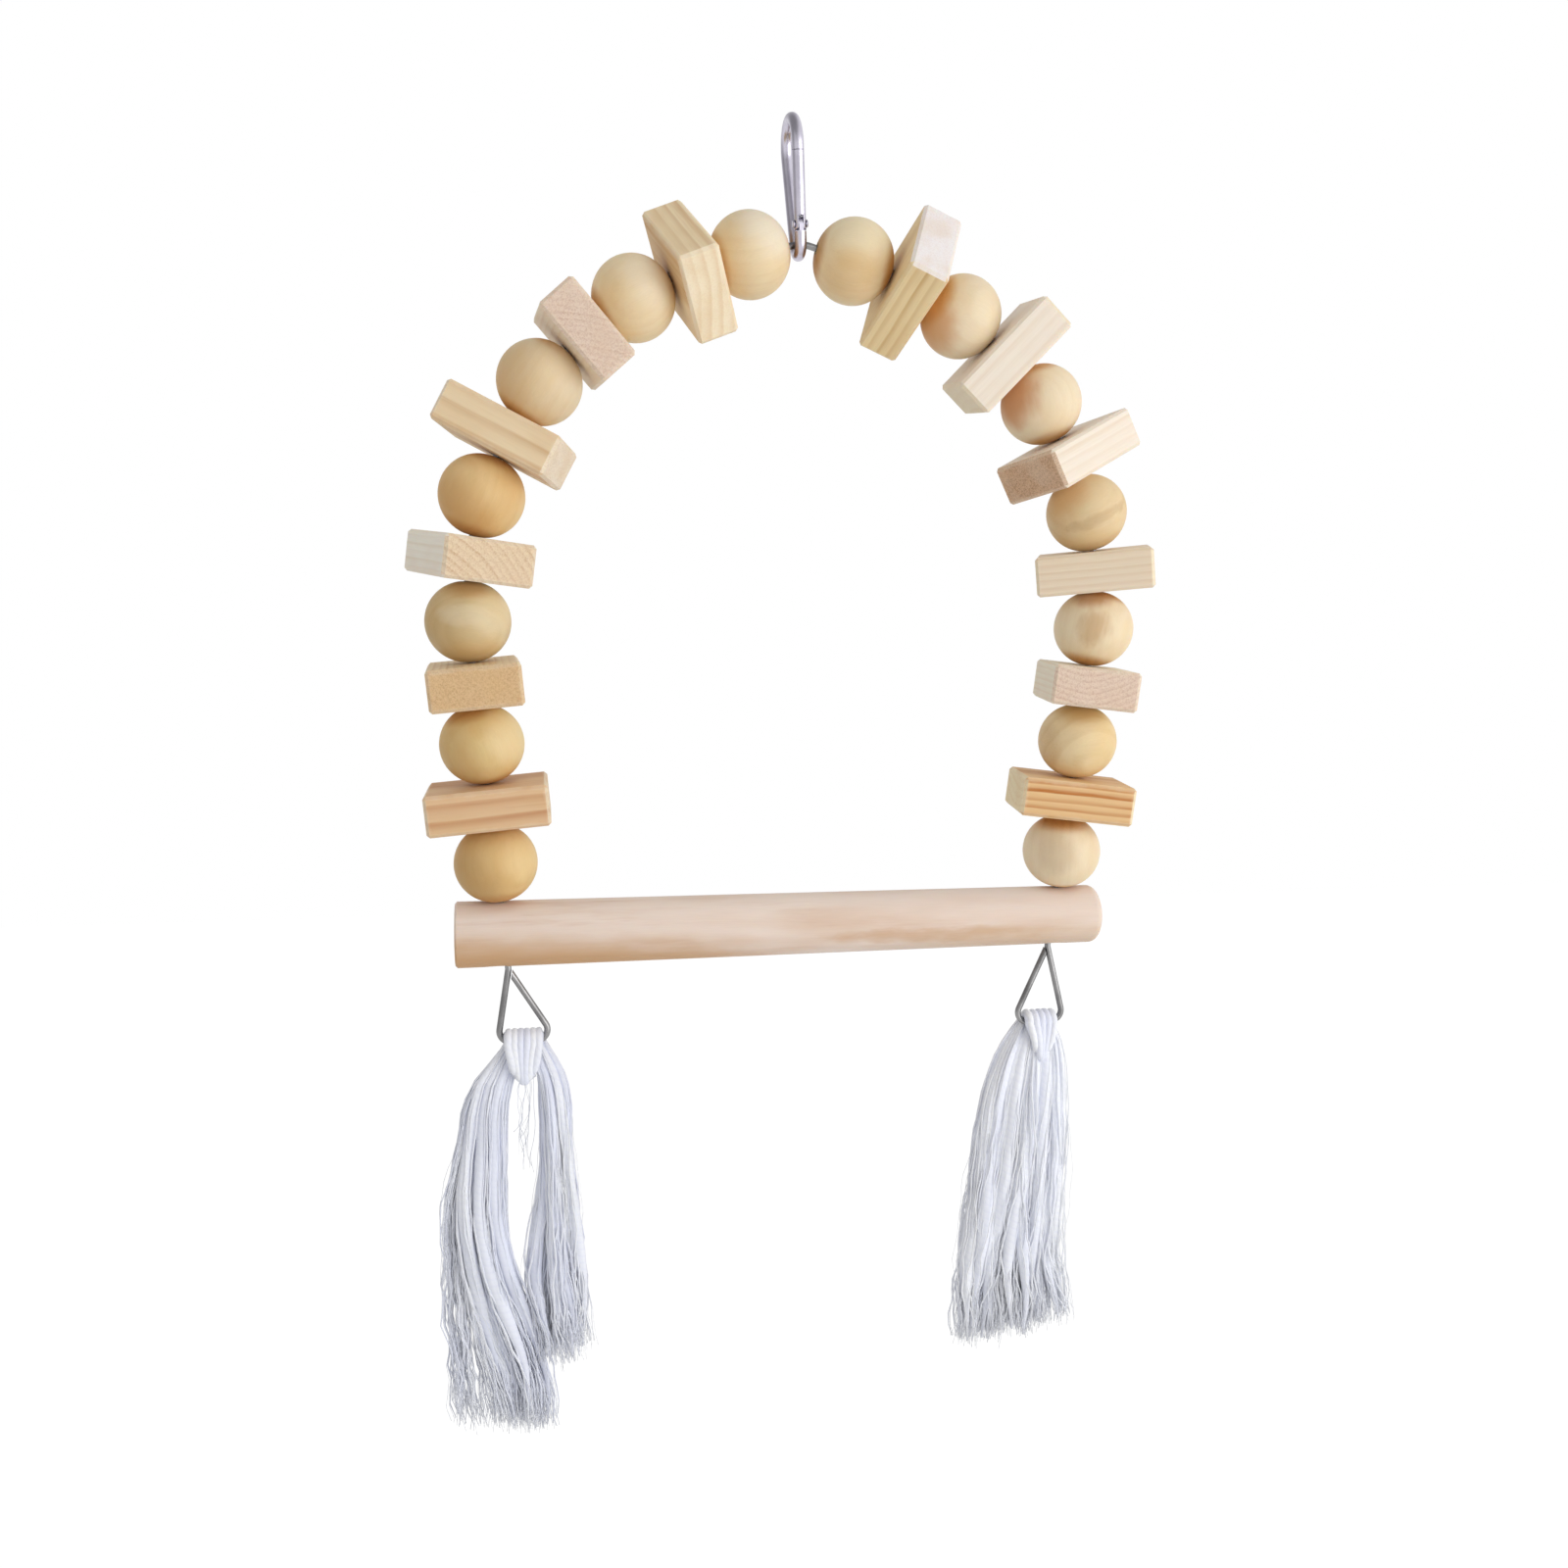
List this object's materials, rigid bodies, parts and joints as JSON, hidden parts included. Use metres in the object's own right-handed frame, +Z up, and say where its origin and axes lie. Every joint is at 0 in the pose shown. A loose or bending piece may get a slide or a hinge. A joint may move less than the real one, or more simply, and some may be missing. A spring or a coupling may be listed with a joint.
{
  "type": "bird swing",
  "caption": "Arched wire bird swing strung with wooden beads and blocks, with a wooden perch, cotton tassels and a spring clip for hanging.",
  "frame": {"origin": "inside of the top bend of the spring clip, where a hook or cage bar carries the swing", "axes": "+Z up, +X along the perch towards its thinner end, -Y towards the front"},
  "size_m": [0.2357, 0.044, 0.4041],
  "materials": {
    "bead_wood": "bare turned wood",
    "block_wood": "bare sawn pine",
    "perch_wood": "bare sanded wood",
    "frame_wire": "drawn steel wire",
    "clip_nickel": "bright nickel",
    "gate_works": "spring steel",
    "cotton_yarn": "soft undyed cotton yarn"
  },
  "bodies": {
    "clip": {"clip_body": "clip_nickel", "gate_rivet": "clip_nickel"},
    "frame": {"wire_frame": "frame_wire", "perch": "perch_wood"},
    "gate": {"clip_gate": "clip_nickel", "gate_spring": "gate_works"},
    "plunger": {"gate_plunger": "gate_works"},
    "left_tassel": {"left_tassel": "cotton_yarn"},
    "right_tassel": {"right_tassel": "cotton_yarn"},
    "left_block_1": {"left_block_1": "block_wood"},
    "left_block_2": {"left_block_2": "block_wood"},
    "left_block_3": {"left_block_3": "block_wood"},
    "left_block_4": {"left_block_4": "block_wood"},
    "left_block_5": {"left_block_5": "block_wood"},
    "left_block_6": {"left_block_6": "block_wood"},
    "right_block_1": {"right_block_1": "block_wood"},
    "right_block_2": {"right_block_2": "block_wood"},
    "right_block_3": {"right_block_3": "block_wood"},
    "right_block_4": {"right_block_4": "block_wood"},
    "right_block_5": {"right_block_5": "block_wood"},
    "right_block_6": {"right_block_6": "block_wood"},
    "left_bead_1": {"left_bead_1": "bead_wood"},
    "left_bead_2": {"left_bead_2": "bead_wood"},
    "left_bead_3": {"left_bead_3": "bead_wood"},
    "left_bead_4": {"left_bead_4": "bead_wood"},
    "left_bead_5": {"left_bead_5": "bead_wood"},
    "left_bead_6": {"left_bead_6": "bead_wood"},
    "left_bead_7": {"left_bead_7": "bead_wood"},
    "right_bead_1": {"right_bead_1": "bead_wood"},
    "right_bead_2": {"right_bead_2": "bead_wood"},
    "right_bead_3": {"right_bead_3": "bead_wood"},
    "right_bead_4": {"right_bead_4": "bead_wood"},
    "right_bead_5": {"right_bead_5": "bead_wood"},
    "right_bead_6": {"right_bead_6": "bead_wood"},
    "right_bead_7": {"right_bead_7": "bead_wood"}
  },
  "joints": [
    {"name": "frame_swing", "type": "hinge", "parent": "clip", "child": "frame", "pos_m": [0.00286, 0, -0.03272], "axis": [1, 0, 0], "range_deg": [-60, 60]},
    {"name": "gate_hinge", "type": "hinge", "parent": "clip", "child": "gate", "pos_m": [0.00244, -0.00464, -0.02793], "axis": [-0.9962, 0, -0.0872], "range_deg": [0, 28], "stiffness_Nm_per_rad": 0.05},
    {"name": "plunger_slide", "type": "slide", "parent": "gate", "child": "plunger", "axis": [-0.0861, -0.1569, 0.9839], "range_m": [0, 0.000308], "deforming": ["gate_spring"]},
    {"name": "left_tassel_swing", "type": "hinge", "parent": "frame", "child": "left_tassel", "pos_m": [-0.07909, 0, -0.27362], "axis": [1, 0, 0], "range_deg": [-75, 75]},
    {"name": "right_tassel_swing", "type": "hinge", "parent": "frame", "child": "right_tassel", "pos_m": [0.0901, 0, -0.27482], "axis": [1, 0, 0], "range_deg": [-75, 75]},
    {"name": "left_block_1_spin", "type": "hinge", "parent": "frame", "child": "left_block_1", "pos_m": [-0.02911, 0, -0.04204], "axis": [-0.9258, 0, -0.3779], "continuous": true},
    {"name": "left_block_2_spin", "type": "hinge", "parent": "frame", "child": "left_block_2", "pos_m": [-0.06009, 0, -0.06165], "axis": [-0.7377, 0, -0.6752], "continuous": true},
    {"name": "left_block_3_spin", "type": "hinge", "parent": "frame", "child": "left_block_3", "pos_m": [-0.08235, 0, -0.09077], "axis": [-0.4582, 0, -0.8888], "continuous": true},
    {"name": "left_block_4_spin", "type": "hinge", "parent": "frame", "child": "left_block_4", "pos_m": [-0.09316, 0, -0.1258], "axis": [-0.1221, 0, -0.9925], "continuous": true},
    {"name": "left_block_5_spin", "type": "hinge", "parent": "frame", "child": "left_block_5", "pos_m": [-0.0921, 0, -0.16235], "axis": [0.0976, 0, -0.9952], "continuous": true},
    {"name": "left_block_6_spin", "type": "hinge", "parent": "frame", "child": "left_block_6", "pos_m": [-0.08854, 0, -0.19861], "axis": [0.0976, 0, -0.9952], "continuous": true},
    {"name": "right_block_1_spin", "type": "hinge", "parent": "frame", "child": "right_block_1", "pos_m": [0.03724, 0, -0.04204], "axis": [0.9258, 0, -0.3779], "continuous": true},
    {"name": "right_block_2_spin", "type": "hinge", "parent": "frame", "child": "right_block_2", "pos_m": [0.06821, 0, -0.06165], "axis": [0.7377, 0, -0.6752], "continuous": true},
    {"name": "right_block_3_spin", "type": "hinge", "parent": "frame", "child": "right_block_3", "pos_m": [0.09048, 0, -0.09077], "axis": [0.4582, 0, -0.8888], "continuous": true},
    {"name": "right_block_4_spin", "type": "hinge", "parent": "frame", "child": "right_block_4", "pos_m": [0.10128, 0, -0.1258], "axis": [0.1221, 0, -0.9925], "continuous": true},
    {"name": "right_block_5_spin", "type": "hinge", "parent": "frame", "child": "right_block_5", "pos_m": [0.10022, 0, -0.16235], "axis": [-0.0976, 0, -0.9952], "continuous": true},
    {"name": "right_block_6_spin", "type": "hinge", "parent": "frame", "child": "right_block_6", "pos_m": [0.09667, 0, -0.19861], "axis": [-0.0976, 0, -0.9952], "continuous": true},
    {"name": "left_bead_1_spin", "type": "hinge", "parent": "frame", "child": "left_bead_1", "pos_m": [-0.01161, 0, -0.0365], "axis": [-0.9659, 0, -0.2588], "continuous": true},
    {"name": "left_bead_2_spin", "type": "hinge", "parent": "frame", "child": "left_bead_2", "pos_m": [-0.04547, 0, -0.05047], "axis": [-0.8449, 0, -0.5349], "continuous": true},
    {"name": "left_bead_3_spin", "type": "hinge", "parent": "frame", "child": "left_bead_3", "pos_m": [-0.07251, 0, -0.07522], "axis": [-0.6074, 0, -0.7944], "continuous": true},
    {"name": "left_bead_4_spin", "type": "hinge", "parent": "frame", "child": "left_bead_4", "pos_m": [-0.08931, 0, -0.1078], "axis": [-0.2947, 0, -0.9556], "continuous": true},
    {"name": "left_bead_5_spin", "type": "hinge", "parent": "frame", "child": "left_bead_5", "pos_m": [-0.09378, 0, -0.14418], "axis": [0.0544, 0, -0.9985], "continuous": true},
    {"name": "left_bead_6_spin", "type": "hinge", "parent": "frame", "child": "left_bead_6", "pos_m": [-0.09032, 0, -0.18048], "axis": [0.0976, 0, -0.9952], "continuous": true},
    {"name": "left_bead_7_spin", "type": "hinge", "parent": "frame", "child": "left_bead_7", "pos_m": [-0.08676, 0, -0.21674], "axis": [0.0976, 0, -0.9952], "continuous": true},
    {"name": "right_bead_1_spin", "type": "hinge", "parent": "frame", "child": "right_bead_1", "pos_m": [0.01974, 0, -0.0365], "axis": [0.9659, 0, -0.2588], "continuous": true},
    {"name": "right_bead_2_spin", "type": "hinge", "parent": "frame", "child": "right_bead_2", "pos_m": [0.05359, 0, -0.05047], "axis": [0.8449, 0, -0.5349], "continuous": true},
    {"name": "right_bead_3_spin", "type": "hinge", "parent": "frame", "child": "right_bead_3", "pos_m": [0.08064, 0, -0.07522], "axis": [0.6074, 0, -0.7944], "continuous": true},
    {"name": "right_bead_4_spin", "type": "hinge", "parent": "frame", "child": "right_bead_4", "pos_m": [0.09743, 0, -0.1078], "axis": [0.2947, 0, -0.9556], "continuous": true},
    {"name": "right_bead_5_spin", "type": "hinge", "parent": "frame", "child": "right_bead_5", "pos_m": [0.10191, 0, -0.14418], "axis": [-0.0544, 0, -0.9985], "continuous": true},
    {"name": "right_bead_6_spin", "type": "hinge", "parent": "frame", "child": "right_bead_6", "pos_m": [0.09845, 0, -0.18048], "axis": [-0.0976, 0, -0.9952], "continuous": true},
    {"name": "right_bead_7_spin", "type": "hinge", "parent": "frame", "child": "right_bead_7", "pos_m": [0.09489, 0, -0.21674], "axis": [-0.0976, 0, -0.9952], "continuous": true}
  ],
  "couplings": [
    {"joint": "plunger_slide", "follows": "gate_hinge", "m_per_rad": 0.00060974}
  ]
}
